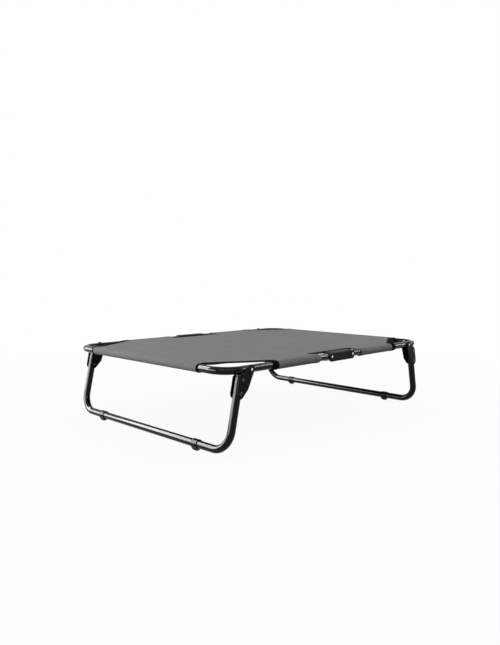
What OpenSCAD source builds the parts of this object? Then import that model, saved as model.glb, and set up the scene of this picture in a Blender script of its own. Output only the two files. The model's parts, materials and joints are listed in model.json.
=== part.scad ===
// Folding raised pet cot: two hinged half frames, two splayed legs and a sleeved cover.
// X runs along the cot from end A (negative) to end B, Y across it from front (negative)
// to back, and Z is up from the floor that the feet stand on.

/* [Tube] */
// Outer diameter of the frame's tubes
tube_d = 21; // [18:0.5:22]
// Outer diameter of the legs' tubes
leg_tube_d = 22; // [20:0.5:24]
// Wall of every bent tube
tube_wall = 1.2; // [0.8:0.1:2]

/* [Frame] */
// Length between the axes of the two end tubes
frame_l = 964; // [930:1:1040]
// Width between the axes of the two long sides
frame_w = 724; // [660:1:800]
// Height of the frame's axis above the floor
frame_h = 230.5; // [216:0.5:246]
// Bend radius of the frame's corners, on the tube's axis
frame_bend = 55; // [45:1:65]

/* [Hinge] */
// Distance between the two pins of a hinge bracket
hinge_pitch = 106; // [98:1:114]
// How far a bracket runs past each of its pins
hinge_reach = 11; // [9:0.5:15]
// How far a bracket's cheeks reach below the tube
hinge_drop = 4.5; // [2:0.1:6]
// Sheet thickness of a hinge bracket
hinge_sheet = 2; // [1.5:0.1:3]
// Outer bend radius along a bracket's upper edges
hinge_fold = 3.5; // [3.2:0.1:5]
// Radius of a bracket's corners, seen from the side
hinge_corner = 8; // [4:0.5:9]

/* [Leg] */
// Distance from an end tube's axis to the leg pivots near it
pivot_inset = 82; // [80:1:95]
// Gap between a folded leg and the sleeve above it
fold_gap = 2; // [0.5:0.1:4]
// Outward lean of a leg from the vertical, in degrees
leg_splay = 12; // [6:0.5:16]
// Bend radius of a leg's lower corners, on the tube's axis
leg_bend = 57; // [45:1:70]
// Gap between a leg's floor bar and the floor
foot_lift = 8; // [5:0.5:12]
// Thickness of a leg plug's cap
plug_cap = 2; // [1:0.1:3]

/* [Cheek plate] */
// Sheet thickness of a cheek plate
cheek_t = 2; // [1.5:0.1:3]
// How far an outer cheek plate reaches above the frame tube at the pivot
cheek_rise = 2; // [1:0.1:4]
// Radius of an inner cheek plate round the pivot, which keeps it below the frame tube's top
inner_boss = 8; // [7:0.1:10]
// How far a cheek plate reaches past the leg tube
cheek_lap = 2; // [1:0.1:4]
// Radius of a cheek plate's upper outer corner
cheek_corner = 4; // [2:0.5:6]
// Distance down the leg from the tube's top to the cheek's upper rivet
rivet_inset = 9.5; // [8:0.1:11]
// Distance between the two rivets of a cheek plate
rivet_gap = 36; // [30:0.5:40]
// Distance down the leg from the lower rivet to the middle of a cheek's rounded end
cheek_tail = 2; // [1:0.1:4]
// Distance down the leg from the pivot to the middle of a cheek's belly
belly_drop = 47.5; // [43:0.5:51]
// Distance out from the pivot to the middle of a cheek's belly
belly_out = 12; // [10:0.5:14]

/* [Pins] */
// Shank diameter of the pivot and hinge pins
pin_d = 7; // [5:0.1:8]
// Head diameter of the pivot and hinge pins
pin_head_d = 12; // [10:0.1:14]
// Height of a pin's domed head
pin_head_h = 2.6; // [1.5:0.1:4]
// Shank diameter of the leg rivets
rivet_d = 5; // [4:0.1:6]
// Head diameter of the leg rivets
rivet_head_d = 9.5; // [8:0.1:12]
// Height of a leg rivet's domed head
rivet_head_h = 2.2; // [1.5:0.1:3]

/* [Foot] */
// Distance from a leg's side to the middle of the foot near it
foot_inset = 126; // [100:1:160]
// Length of a foot's collar along the floor bar
foot_l = 24; // [20:0.5:30]
// Wall of a foot's collar
foot_wall = 2; // [1.5:0.1:2.5]
// Length of a foot's pad where it starts to round in
pad_l = 18; // [15:0.5:20]
// Width of a foot's pad where it starts to round in
pad_w = 16; // [13:0.5:18]
// Height above the floor at which a foot's pad starts to round in
pad_lift = 4; // [2:0.1:5]
// Length of a foot's flat tread
tread_l = 11; // [8:0.5:14]
// Width of a foot's flat tread
tread_w = 9; // [7:0.5:12]

/* [Cover] */
// Wall of the cover's sleeves
sleeve_wall = 1.7; // [1:0.1:1.9]
// Thickness of the cover's panels
panel_t = 2; // [1:0.1:3]
// Distance from the long sides to the ends of an end sleeve
end_sleeve_gap = 96; // [80:1:120]
// Distance from a hinge pin to the side sleeve near it
hinge_sleeve_gap = 53; // [40:1:70]
// Distance from a leg pivot to the side sleeve near it
pivot_sleeve_gap = 88; // [86:1:110]
// Gap between the cover's edge and the heads of the hinge pins
cover_notch = 2.8; // [1:0.1:10]

/* [Clearances] */
// Radial clearance of a pin in its holes
pin_clear = 0.05; // [0.02:0.01:0.1]
// Gap between a head and the sheet under it
head_clear = 0.2; // [0.1:0.05:0.3]
// Gap between a plate or bracket and the tube beside it
side_clear = 0.35; // [0.25:0.05:0.5]
// Gap between a leg's plug and the frame tube that it stops against
stop_clear = 0.4; // [0.3:0.05:0.6]
// Gap between the cover and what it lies on, or another panel
cover_clear = 0.3; // [0.2:0.05:0.5]
// Gap between a plug or collar and its tube
seat_clear = 0.1; // [0.05:0.05:0.2]

/* [Hidden] */
$fn = 64;
steel_black = "#151517";
plate_black = "#232426";
rubber_black = "#1b1b1c";
zinc = "#c9cdd0";
cloth_grey = "#7f8082";
// How far a cut runs past what it cuts, and a stem stays short of a rivet
over = 1;

tube_r = tube_d / 2;
leg_r = leg_tube_d / 2;
half_l = frame_l / 2;
half_w = frame_w / 2;
pin_x = hinge_pitch / 2;
pivot_x = half_l - pivot_inset;
bar_z = foot_lift + leg_r;
sleeve_bore = tube_r + cover_clear;
sleeve_r = sleeve_bore + sleeve_wall;
// Distance from a leg's pivot to the axis of its tube, so that the leg folds in under the sleeve
leg_offset = leg_r + sleeve_r + fold_gap;
// Where the leg's axis meets the height of its floor bar
bar_x = pivot_x + leg_offset / cos(leg_splay) + (frame_h - bar_z) * tan(leg_splay);
// Distance along the leg's axis from the floor bar up to the level of the pivot
leg_l = (frame_h - bar_z) / cos(leg_splay) + leg_offset * tan(leg_splay);
// Drop of the plug's top below the pivot, where its high edge stops under the frame tube
plug_drop = (tube_r + stop_clear + (leg_offset + leg_r) * sin(leg_splay)) / cos(leg_splay);
leg_top = leg_l - plug_drop - plug_cap;
plug_stem = rivet_inset - rivet_d / 2 - over;
rivet_drop = plug_drop + plug_cap + rivet_inset;
outer_boss = tube_r + cheek_rise;
cheek_margin = leg_r + cheek_lap;
cheek_inner = max(tube_r, leg_r) + side_clear;
cheek_outer = cheek_inner + cheek_t;
hinge_inner = tube_r + side_clear;
hinge_outer = hinge_inner + hinge_sheet;
panel_top = frame_h + tube_r;
side_sleeve_x = pin_x + hinge_sleeve_gap;
side_sleeve_end = pivot_x - pivot_sleeve_gap;
end_sleeve_l = frame_w - 2 * end_sleeve_gap;
cover_edge = half_w - hinge_outer - head_clear - pin_head_h - cover_notch;
collar_bore = leg_r + seat_clear;
collar_r = collar_bore + foot_wall;

ENDS = ["a", "b"];
SIDES = ["front", "back"];
FACES = ["outer", "inner"];

// Convex outline that wraps a list of circles, each [x, y, radius]
module wrap(circles) {
    hull()
        for (c = circles)
            translate([c.x, c.y])
                circle(c.z, $fn = 32);
}

// End B is the mirror image of end A, and the back the mirror image of the front
module at_end(e) {
    mirror([e == "b" ? 1 : 0, 0, 0])
        children();
}
module at_side(s) {
    mirror([0, s == "back" ? 1 : 0, 0])
        children();
}

// Solid rod along X, from one x to another
module rod_x(x_from, x_to, r) {
    translate([x_from, 0, 0])
        rotate([0, 90, 0])
            cylinder(h = x_to - x_from, r = r);
}
// Solid rod along Y, from one y to another
module rod_y(y_from, y_to, r) {
    translate([0, y_from, 0])
        rotate([-90, 0, 0])
            cylinder(h = y_to - y_from, r = r);
}
// Quarter bend of a rod in the XY plane, about the origin, in the -X -Y quarter
module bend(bend_r, r) {
    rotate([0, 0, 180])
        rotate_extrude(angle = 90)
            translate([bend_r, 0])
                circle(r);
}

// A U-shaped rod in the XY plane: its crossbar lies along Y at x = 0 and its arms run to +X
module u_rod(width, arm, bend_r, r) {
    rod_y(bend_r - width / 2, width / 2 - bend_r, r);
    for (s = SIDES)
        at_side(s) {
            translate([bend_r, bend_r - width / 2, 0])
                bend(bend_r, r);
            translate([0, -width / 2, 0])
                rod_x(bend_r, arm, r);
        }
}
module u_tube(width, arm, bend_r, r) {
    difference() {
        u_rod(width, arm, bend_r, r);
        u_rod(width, arm + over, bend_r, r - tube_wall);
    }
}

// Domed head with its flat face at y = 0, facing -Y
module head(d, h) {
    dome_r = (d * d / 4 + h * h) / (2 * h);
    rotate([90, 0, 0])
        rotate_extrude()
            intersection() {
                translate([0, h - dome_r])
                    circle(dome_r);
                square([d, h]);
            }
}
// Rivet along Y, centred, with a head at each end of a grip of the given half length
module rivet(d, head_d, head_h, half_grip) {
    rod_y(-half_grip, half_grip, d / 2);
    for (s = SIDES)
        at_side(s)
            translate([0, -half_grip, 0])
                head(head_d, head_h);
}
// Hole along Y for a rivet
module rivet_hole(d) {
    rod_y(-2 * tube_d, 2 * tube_d, d / 2 + pin_clear);
}

// Places on the frame
module at_pivot(s) {
    at_side(s)
        translate([-pivot_x, -half_w, frame_h])
            children();
}
module at_hinge_pin(s) {
    at_side(s)
        translate([-pin_x, -half_w, frame_h])
            children();
}
// Leg A's own frame: origin on the pivot line, +X out from the pivot, +Y up along the leg
module leg_plane(s) {
    at_pivot(s)
        rotate([0, leg_splay, 0])
            mirror([1, 0, 0])
                rotate([90, 0, 0])
                    children();
}

module frame_tube(e) {
    nose = half_l - pin_x;
    color(steel_black)
        at_end(e)
            difference() {
                translate([-half_l, 0, frame_h])
                    intersection() {
                        u_tube(frame_w, nose + tube_r, frame_bend, tube_r);
                        union() {
                            translate([-tube_d, -frame_w, -tube_d])
                                cube([tube_d + nose, 2 * frame_w, 2 * tube_d]);
                            translate([nose, 0, 0])
                                rod_y(-frame_w, frame_w, tube_r);
                        }
                    }
                for (s = SIDES) {
                    at_pivot(s)
                        rivet_hole(pin_d);
                    at_hinge_pin(s)
                        rivet_hole(pin_d);
                }
            }
}

// Side outline of a hinge bracket, in x and height above the tube's axis
module hinge_outline() {
    end_x = pin_x + hinge_reach;
    low = hinge_corner - tube_r - hinge_drop;
    high = hinge_outer - hinge_corner;
    wrap([
        [hinge_corner - end_x, low, hinge_corner],
        [end_x - hinge_corner, low, hinge_corner],
        [end_x - hinge_corner, high, hinge_corner],
        [hinge_corner - end_x, high, hinge_corner]
    ]);
}
// Cross-section of a hinge bracket: a channel that opens downward
module hinge_section() {
    low = -2 * tube_d;
    difference() {
        union() {
            translate([-hinge_outer, low])
                square([2 * hinge_outer, hinge_outer - hinge_fold - low]);
            translate([hinge_fold - hinge_outer, 0])
                square([2 * (hinge_outer - hinge_fold), hinge_outer]);
            for (way = [-1, 1])
                translate([way * (hinge_outer - hinge_fold), hinge_outer - hinge_fold])
                    circle(hinge_fold);
        }
        translate([-hinge_inner, low - over])
            square([2 * hinge_inner, hinge_inner - low + over]);
    }
}
module hinge_bracket(s) {
    length = hinge_pitch + 2 * hinge_reach;
    color(plate_black)
        difference() {
            at_side(s)
                translate([0, -half_w, frame_h])
                    intersection() {
                        translate([-length / 2 - over, 0, 0])
                            rotate([90, 0, 90])
                                linear_extrude(length + 2 * over)
                                    hinge_section();
                        rotate([90, 0, 0])
                            linear_extrude(2 * tube_d, center = true)
                                hinge_outline();
                    }
            for (e = ENDS)
                at_end(e)
                    at_hinge_pin(s)
                        rivet_hole(pin_d);
        }
}
module hinge_pin(s, e) {
    color(zinc)
        at_end(e)
            at_hinge_pin(s)
                rivet(pin_d, pin_head_d, pin_head_h, hinge_outer + head_clear);
}

module leg_tube(e) {
    color(steel_black)
        at_end(e)
            difference() {
                translate([-bar_x, 0, bar_z])
                    rotate([0, leg_splay - 90, 0])
                        u_tube(frame_w, leg_top, leg_bend, leg_r);
                for (s = SIDES)
                    leg_rivet_places(s)
                        rivet_hole(rivet_d);
            }
}
module leg_plug(e, s) {
    stem_r = leg_r - tube_wall - seat_clear;
    color(plate_black)
        at_end(e)
            leg_plane(s)
                translate([leg_offset, -plug_drop, 0])
                    rotate([90, 0, 0]) {
                        cylinder(h = plug_cap, r = leg_r);
                        cylinder(h = plug_cap + plug_stem, r = stem_r);
                    }
}

// Outline of a cheek plate in the leg's own frame, with a boss of the given radius at the pivot
module cheek_outline(boss) {
    corner_x = leg_offset + cheek_margin - cheek_corner;
    wrap([
        [0, 0, boss],
        [belly_out, -belly_drop, cheek_margin],
        [leg_offset, -rivet_drop - rivet_gap - cheek_tail, cheek_margin],
        [corner_x, cheek_corner - rivet_drop, cheek_corner]
    ]);
}
module cheek(e, s, f) {
    face_y = f == "outer" ? cheek_inner : -cheek_outer;
    color(plate_black)
        at_end(e)
            difference() {
                leg_plane(s)
                    translate([0, 0, face_y])
                        linear_extrude(cheek_t)
                            cheek_outline(f == "outer" ? outer_boss : inner_boss);
                at_pivot(s)
                    rivet_hole(pin_d);
                leg_rivet_places(s)
                    rivet_hole(rivet_d);
            }
}
// The two places on the leg where rivets pass through both cheeks
module leg_rivet_places(s) {
    for (drop = [rivet_drop, rivet_drop + rivet_gap])
        leg_plane(s)
            translate([leg_offset, -drop, 0])
                rotate([90, 0, 0])
                    children();
}
module leg_rivets(e, s) {
    color(plate_black)
        at_end(e)
            leg_rivet_places(s)
                rivet(rivet_d, rivet_head_d, rivet_head_h, cheek_outer + seat_clear);
}
module pivot_pin(e, s) {
    color(zinc)
        at_end(e)
            at_pivot(s)
                rivet(pin_d, pin_head_d, pin_head_h, cheek_outer + head_clear);
}

// Front outline of a foot, in x and height above the floor
module foot_front() {
    translate([0, bar_z])
        circle(collar_r);
    polygon([
        [-tread_w / 2, 0], [tread_w / 2, 0],
        [pad_w / 2, pad_lift], [leg_r, bar_z],
        [-leg_r, bar_z], [-pad_w / 2, pad_lift]
    ]);
}
// Side outline of a foot, in y and height above the floor
module foot_side() {
    top = bar_z + collar_r;
    polygon([
        [-tread_l / 2, 0], [tread_l / 2, 0], [pad_l / 2, pad_lift],
        [foot_l / 2, foot_lift], [foot_l / 2, top],
        [-foot_l / 2, top], [-foot_l / 2, foot_lift], [-pad_l / 2, pad_lift]
    ]);
}
module foot(e, s) {
    color(rubber_black)
        at_end(e)
            at_side(s)
                translate([-bar_x, foot_inset - half_w, 0])
                    difference() {
                        intersection() {
                            rotate([90, 0, 0])
                                linear_extrude(foot_l + 2 * over, center = true)
                                    foot_front();
                            rotate([90, 0, 90])
                                linear_extrude(4 * tube_d, center = true)
                                    foot_side();
                        }
                        translate([0, 0, bar_z])
                            rod_y(-foot_l, foot_l, collar_bore);
                    }
}
// Half of the cover's outline, from end A to a hinge line, with its corners cut off
module cover_outline() {
    front = [
        [-half_l, -end_sleeve_l / 2],
        [-side_sleeve_end, -half_w],
        [-side_sleeve_x, -half_w],
        [-side_sleeve_x, -cover_edge],
        [-pin_x - cover_clear, -cover_edge]
    ];
    back = [for (i = [len(front) - 1 : -1 : 0]) [front[i].x, -front[i].y]];
    polygon(concat(front, back));
}
module cover_panel(e) {
    clear_r = sleeve_r + cover_clear;
    color(cloth_grey)
        at_end(e)
            difference() {
                translate([0, 0, panel_top - panel_t])
                    linear_extrude(panel_t)
                        cover_outline();
                translate([-half_l, 0, frame_h])
                    rod_y(-half_w, half_w, clear_r);
                for (s = SIDES)
                    at_side(s)
                        translate([0, -half_w, frame_h])
                            rod_x(-half_l, -side_sleeve_x, clear_r);
            }
}
module cover_panel_middle() {
    color(cloth_grey)
        translate([-pin_x, -cover_edge, panel_top - panel_t])
            cube([hinge_pitch, 2 * cover_edge, panel_t]);
}
module cover_end_sleeve(e) {
    color(cloth_grey)
        at_end(e)
            translate([-half_l, 0, frame_h])
                difference() {
                    rod_y(-end_sleeve_l / 2, end_sleeve_l / 2, sleeve_r);
                    rod_y(-end_sleeve_l, end_sleeve_l, sleeve_bore);
                }
}
module cover_side_sleeve(e, s) {
    color(cloth_grey)
        at_end(e)
            at_side(s)
                translate([0, -half_w, frame_h])
                    difference() {
                        rod_x(-side_sleeve_end, -side_sleeve_x, sleeve_r);
                        rod_x(-side_sleeve_end - over, over - side_sleeve_x, sleeve_bore);
                    }
}

// One node at a time, or all of them
for (e = ENDS) {
    frame_tube(e);
    leg_tube(e);
    cover_panel(e);
    cover_end_sleeve(e);
}
for (s = SIDES)
    hinge_bracket(s);
for (e = ENDS, s = SIDES) {
    hinge_pin(s, e);
    leg_plug(e, s);
    leg_rivets(e, s);
    pivot_pin(e, s);
    foot(e, s);
    cover_side_sleeve(e, s);
}
for (e = ENDS, s = SIDES, f = FACES)
    cheek(e, s, f);
cover_panel_middle();
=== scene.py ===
"""Looks of a folding raised pet cot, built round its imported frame, in metres."""
import json
import math

import bmesh
import bpy
from mathutils import Matrix, Quaternion, Vector, noise
from mathutils.geometry import convex_hull_2d


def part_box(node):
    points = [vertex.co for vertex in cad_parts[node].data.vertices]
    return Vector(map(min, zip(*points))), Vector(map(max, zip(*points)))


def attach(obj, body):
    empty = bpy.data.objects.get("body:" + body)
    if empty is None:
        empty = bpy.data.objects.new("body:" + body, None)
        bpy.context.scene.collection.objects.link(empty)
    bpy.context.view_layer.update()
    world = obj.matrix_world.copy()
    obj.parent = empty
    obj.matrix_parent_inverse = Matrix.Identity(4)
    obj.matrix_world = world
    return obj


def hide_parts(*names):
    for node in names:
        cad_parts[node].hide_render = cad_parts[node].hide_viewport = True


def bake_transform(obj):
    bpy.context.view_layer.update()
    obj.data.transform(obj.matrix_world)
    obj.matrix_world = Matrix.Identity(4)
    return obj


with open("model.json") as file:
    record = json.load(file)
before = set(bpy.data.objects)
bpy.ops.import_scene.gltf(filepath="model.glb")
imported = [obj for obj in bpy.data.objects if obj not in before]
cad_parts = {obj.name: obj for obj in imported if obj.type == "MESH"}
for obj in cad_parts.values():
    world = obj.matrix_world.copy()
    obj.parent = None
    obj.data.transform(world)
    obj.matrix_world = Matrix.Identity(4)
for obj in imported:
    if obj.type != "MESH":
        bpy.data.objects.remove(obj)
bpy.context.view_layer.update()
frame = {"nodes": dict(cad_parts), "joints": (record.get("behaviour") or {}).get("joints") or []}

MM = 0.001
TINY = 1e-6
ENDS = {"a": -1, "b": 1}
SIDES = {"front": -1, "back": 1}
ACROSS = Vector((0, 1, 0))
UP = Vector((0, 0, 1))
QUARTER_TURN = math.pi / 2
FULL_TURN = 2 * math.pi

# Sizes and places taken from the frame
PIN_X = next(abs(joint["pos_m"][0]) for joint in frame["joints"] if joint["name"] == "fold_b")
tube_low, tube_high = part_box("frame_tube_b")
TUBE_R = (tube_high.z - tube_low.z) / 2
FRAME_H = (tube_high.z + tube_low.z) / 2
HALF_W = tube_high.y - TUBE_R
HALF_L = tube_high.x - TUBE_R
foot_low, foot_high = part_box("foot_b_back")
BAR_X = (foot_low.x + foot_high.x) / 2
FOOT_Y = (foot_low.y + foot_high.y) / 2
FOOT_L = foot_high.y - foot_low.y
COLLAR_R = (foot_high.x - foot_low.x) / 2
leg_low, leg_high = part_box("leg_tube_b")
LEG_R = leg_high.y - HALF_W
BAR_Z = leg_low.z + LEG_R
sleeve_low, sleeve_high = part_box("cover_side_sleeve_b_back")
HINGE_MOUTH = sleeve_low.x
SIDE_MOUTH = sleeve_high.x
END_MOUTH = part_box("cover_end_sleeve_b")[1].y
NOTCH_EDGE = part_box("cover_panel_middle")[1].y

# Sizes of the bent steel
TUBE_WALL = 1.2 * MM
NOSE_SHARE = 0.95
FRAME_BEND = 55 * MM
LEG_BEND = 57 * MM
LEG_SPLAY = math.radians(12)
LEG_RUN = (leg_high.z - LEG_R * math.sin(LEG_SPLAY) - BAR_Z) / math.cos(LEG_SPLAY)
PLATE_EDGE = 0.7 * MM
HINGE_SHEET = 2 * MM
HINGE_FOLD = 3.5 * MM
HINGE_CORNER = 8 * MM
HINGE_EDGE = 0.5 * MM

# Sizes of the leg plugs
FIT_GAP = 0.1 * MM
PLUG_CAP = 2 * MM
PLUG_EDGE = 0.8 * MM
PLUG_STEM = 6 * MM
PLUG_TAPER = 1 * MM
PLUG_R = LEG_R - TUBE_WALL - FIT_GAP
PLUG_TOP_R = 0.4 * LEG_R

# Sizes of the pins and rivets
PIN_D = 7 * MM
PIN_HEAD_D = 12 * MM
PIN_HEAD_H = 2.6 * MM
RIVET_D = 5 * MM
RIVET_HEAD_D = 9.5 * MM
RIVET_HEAD_H = 2.2 * MM
HEAD_LIP = 0.5 * MM
DOME_SHARE = 0.94
# Shares of a head's radius where the painted shade of its rim starts and where it is full; the shade stands
# for the dark reflection at the dome's edge
RIM_START = 0.54
RIM_END = 0.66

# Sizes of the rubber feet
FOOT_BORE = LEG_R + FIT_GAP
FOOT_LIFT = BAR_Z - LEG_R
FOOT_EDGE = 0.9 * MM
PAD_L = 18 * MM
PAD_W = 16 * MM
PAD_LIFT = 4 * MM
TREAD_L = 11 * MM
TREAD_W = 9 * MM
FOOT_SOFTNESS = 1.6 * MM
PAD_LIMIT = 0.02

# Slopes of a foot's sides: height and half width of each one's lower and upper edge
FLANKS = [(0, TREAD_W / 2, PAD_LIFT, PAD_W / 2), (PAD_LIFT, PAD_W / 2, BAR_Z, LEG_R)]

# Sizes of the cover
CLOTH_T = 0.9 * MM
SLEEVE_GAP = 0.3 * MM
SLEEVE_R = TUBE_R + SLEEVE_GAP + CLOTH_T / 2
SIDE_LOOSENESS = 0.9 * MM
END_LOOSENESS = 0.2 * MM
SEAM_INSET = 24 * MM
SEAM_DROP = 1.1 * CLOTH_T
COVER_SAG = 4 * MM
NOTCH_DROOP = 2 * MM
NOTCH_DROOP_P = 30 * MM
NOTCH_DROOP_Q = 70 * MM
CORNER_DROOP = 2.5 * MM
CORNER_DROOP_START = 18 * MM
CORNER_DROOP_FADE = 28 * MM
CORNER_DROOP_END = 64 * MM
CORNER_DROOP_REACH = 30 * MM
RIPPLE = 0.35 * MM
RIPPLE_SCALE = 14
RIPPLE_RISE = 4

# Sizes of the binding tape, hems and stitches
TAPE_W = 22 * MM
END_TAPE_SHARE = 0.27
HEM_W = 18 * MM
TAPE_T = 0.55 * MM
TAPE_LIFT = CLOTH_T / 2 + TAPE_T
BAND_GAP = 0.05 * MM
BAND_BEVEL = 0.4 * MM
BAND_FOLD = 0.6 * MM
BAND_FOLD_SHARE = 0.8
BAND_HOLLOW = 0.2 * MM
EDGE_PROBE = 0.5 * MM
SEAM_ROWS = (1 * MM, 6 * MM)
HEM_ROW = 4 * MM
BAND_ROW = 3 * MM
STITCH_PITCH = 4.2 * MM
STITCH_L = 3.0 * MM
STITCH_R = 0.4 * MM

# Swell of a stitch: share of its length, then radius and lift as shares of the thread's radius
STITCH_SWELL = [(0, 0.35, -0.5), (0.25, 0.9, 0.25), (0.5, 1, 0.4), (0.75, 0.9, 0.25), (1, 0.35, -0.5)]

# Mesh steps
SHARP_ANGLE = math.radians(50)
ROUND_STEPS = 48
BEND_STEPS = 18
EDGE_STEPS = 4
DOME_STEPS = 8
HINGE_STEPS = 6
HINGE_COLUMNS = 17
HINGE_EDGE_STEPS = 3
HINGE_WALL_SHARES = (0, 0.2, 0.4)
HINGE_TOP_SHARES = (-0.5, 0, 0.5)
FOOT_STEPS = 32
CORNER_STEPS = 20
CLOTH_STEP = 6 * MM
WRAP_STEPS = 26
SEAM_STEPS = 5
DIAGONAL_STEPS = 24
NOTCH_STEPS = 36
FOLD_STEPS = 6
SIDE_SEAM_STEPS = 30
END_SEAM_STEPS = 60
STITCH_SIDES = 6

# Noise in the materials, as a scale per metre, and the part of its range that is used
NOISE_LOW = 0.3
NOISE_HIGH = 0.7
PAINT_MOTTLE = 45
PAINT_GLOSS = 90
ZINC_CLOUD = 260
ZINC_GLOSS = 500
ZINC_SCRATCH = 900
MOULD_CLOUD = 120
MOULD_GLOSS = 300
CLOTH_CLOUD = 9
YARN_ACROSS = 900
YARN_ALONG = 60

# Shares of a woven cloth's shade, and of its yarns in its height
YARN_SHADE = 0.35
CLOUD_SHADE = 0.3
WEAVE_SHADE = 0.12
YARN_HEIGHT = 1.5

# Depth and strength of the bump in each kind of surface
PAINT_BUMP = 0.5
WEAVE_DEPTH = 0.12 * MM
WEAVE_BUMP = 0.6
ZINC_DEPTH = 0.03 * MM
ZINC_BUMP = 0.4
MOULD_DEPTH = 0.05 * MM
MOULD_BUMP = 0.5

# Look of the zinc, and of the painted shade on the rims of its heads, which stands for their dark reflection
ZINC_MIDDLE = (0.42, 0.43, 0.44)
ZINC_DARK = (0.36, 0.37, 0.38)
ZINC_PALE = (0.48, 0.49, 0.50)
ZINC_ROUGHNESS = (0.38, 0.52)
RIM_PAINTED_SHADE = (0.006, 0.006, 0.0063)
CLOTH_SPECULAR = 0.05

# Floor, world and lamps
FLOOR_HALF = 40
FLOOR_SHADE = 0.22
SHADOW_SHADE = 0.9
SHADOW_SHARE = 0.06
SHADOW_NEAR = 0.9
SHADOW_FAR = 2.2
WORLD_LEVEL = 0.47
SOFTBOX_DISTANCE = 4.5
CARD_DISTANCE = 2.6
BACK_UPRIGHT = (0.766, 0, 0.643)
SIDE_UPRIGHT = (0.592, 0.635, -0.496)
SIDE_CARD = (0.4, 0.75)

# Camera that sees the cot as the photograph does
CAMERA_PLACE = Vector((-1.4775, -1.4422, 0.4721))
CAMERA_AZIMUTH = math.radians(45.13)
CAMERA_PITCH = math.radians(4.471)
CAMERA_ROLL = math.radians(0.125)
CAMERA_LENS = 32.70
CAMERA_SENSOR = 36
CAMERA_RANGE = 200


# Number helpers


def smooth_step(value, low, high):
    """0 below low, 1 above high, and a smooth rise between them."""
    share = min(max((value - low) / (high - low), 0), 1)
    return share * share * (3 - 2 * share)


def even_steps(start, end, count):
    """Values from start to end in equal steps, without the last one."""
    return [start + (end - start) * k / count for k in range(count)]


def quarter_turns(count):
    """Turns from 0 to a right angle in equal steps."""
    return [QUARTER_TURN * k / count for k in range(count + 1)]


def soft_min(first, second, blend):
    """The smaller of two lengths, with the corner between them rounded."""
    share = max(blend - abs(first - second), 0) / blend
    return min(first, second) - share * share * blend / 4


def soft_max(first, second, blend):
    """The larger of two lengths, with the corner between them rounded."""
    return -soft_min(-first, -second, blend)


# Mesh helpers


def make_mesh(name, points, faces):
    """A mesh with outward normals, smooth apart from its sharp edges."""
    mesh = bpy.data.meshes.new(name)
    mesh.from_pydata([tuple(point) for point in points], [], faces)
    work = bmesh.new()
    work.from_mesh(mesh)
    bmesh.ops.recalc_face_normals(work, faces=work.faces)
    work.to_mesh(mesh)
    work.free()
    mesh.shade_smooth()
    mesh.set_sharp_from_angle(angle=SHARP_ANGLE)
    return mesh


def grid_faces(rows, columns, start=0, close_rows=False, close_columns=False):
    """Quads of a grid whose points are stored row by row."""
    faces = []
    for i in range(rows if close_rows else rows - 1):
        for j in range(columns if close_columns else columns - 1):
            here, below = start + i * columns, start + (i + 1) % rows * columns
            beside = (j + 1) % columns
            faces.append((here + j, here + beside, below + beside, below + j))
    return faces


def end_caps(rows, columns, start=0):
    """Faces that fill the first and the last row of a grid."""
    last = start + (rows - 1) * columns
    return [tuple(range(first, first + columns)) for first in (start, last)]


def lathe(place, axis, profile):
    """Points and faces of a profile of (radius, height) pairs turned round an axis."""
    side = axis.orthogonal().normalized()
    other = axis.cross(side)
    points = []
    for radius, height in profile:
        for turn in even_steps(0, FULL_TURN, ROUND_STEPS):
            rim = side * math.cos(turn) + other * math.sin(turn)
            points.append(place + axis * height + rim * radius)
    faces = grid_faces(len(profile), ROUND_STEPS, close_columns=True)
    return points, faces + end_caps(len(profile), ROUND_STEPS)


def add_object(name, mesh, material):
    """An object for a mesh, linked to the scene."""
    mesh.materials.append(material)
    piece = bpy.data.objects.new(name, mesh)
    bpy.context.scene.collection.objects.link(piece)
    return piece


def add_piece(name, mesh, material, body, nodes):
    """A piece that rides on a body and stands for CAD nodes."""
    piece = add_object(name, mesh, material)
    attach(piece, body)
    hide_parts(*nodes)
    return piece


def add_flat_uv(mesh, flats):
    """Give each point of a mesh its own UV."""
    layer = mesh.uv_layers.new(name="flat")
    for loop in mesh.loops:
        layer.data[loop.index].uv = flats[loop.vertex_index]


def apply_modifiers(piece):
    """Turn a piece's modifiers into its mesh."""
    graph = bpy.context.evaluated_depsgraph_get()
    piece.data = bpy.data.meshes.new_from_object(piece.evaluated_get(graph))
    piece.modifiers.clear()


# Material helpers


def new_material(name, colour, roughness, **sockets):
    """A Principled material, with its constant values set on its own sockets."""
    material = bpy.data.materials.new(name)
    material.use_nodes = True
    shader = shader_of(material)
    shader.inputs["Base Color"].default_value = (*colour, 1)
    shader.inputs["Roughness"].default_value = roughness
    for socket, value in sockets.items():
        shader.inputs[socket.replace("_", " ")].default_value = value
    return material


def shader_of(material):
    """A material's Principled shader."""
    return material.node_tree.nodes["Principled BSDF"]


def add_node(material, kind, values=None, **settings):
    """A node with some of its settings and input values set."""
    node = material.node_tree.nodes.new(kind)
    for setting, value in settings.items():
        setattr(node, setting, value)
    for socket, value in (values or {}).items():
        node.inputs[socket].default_value = value
    return node


def join(material, output, target):
    """Link a node's output to an input."""
    material.node_tree.links.new(output, target)


def noise_field(material, scale, detail=3, coordinates="Object", stretch=(1, 1, 1)):
    """A noise texture over the surface, as a value about 0.5."""
    place = add_node(material, "ShaderNodeTexCoord")
    mapping = add_node(material, "ShaderNodeMapping", {"Scale": stretch})
    field = add_node(material, "ShaderNodeTexNoise", {"Scale": scale, "Detail": detail})
    join(material, place.outputs[coordinates], mapping.inputs["Vector"])
    join(material, mapping.outputs["Vector"], field.inputs["Vector"])
    return field.outputs["Fac"]


def uv_parts(material):
    """The surface's UV, split into its values X and Y."""
    place = add_node(material, "ShaderNodeTexCoord")
    split = add_node(material, "ShaderNodeSeparateXYZ")
    join(material, place.outputs["UV"], split.inputs["Vector"])
    return split.outputs


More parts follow.
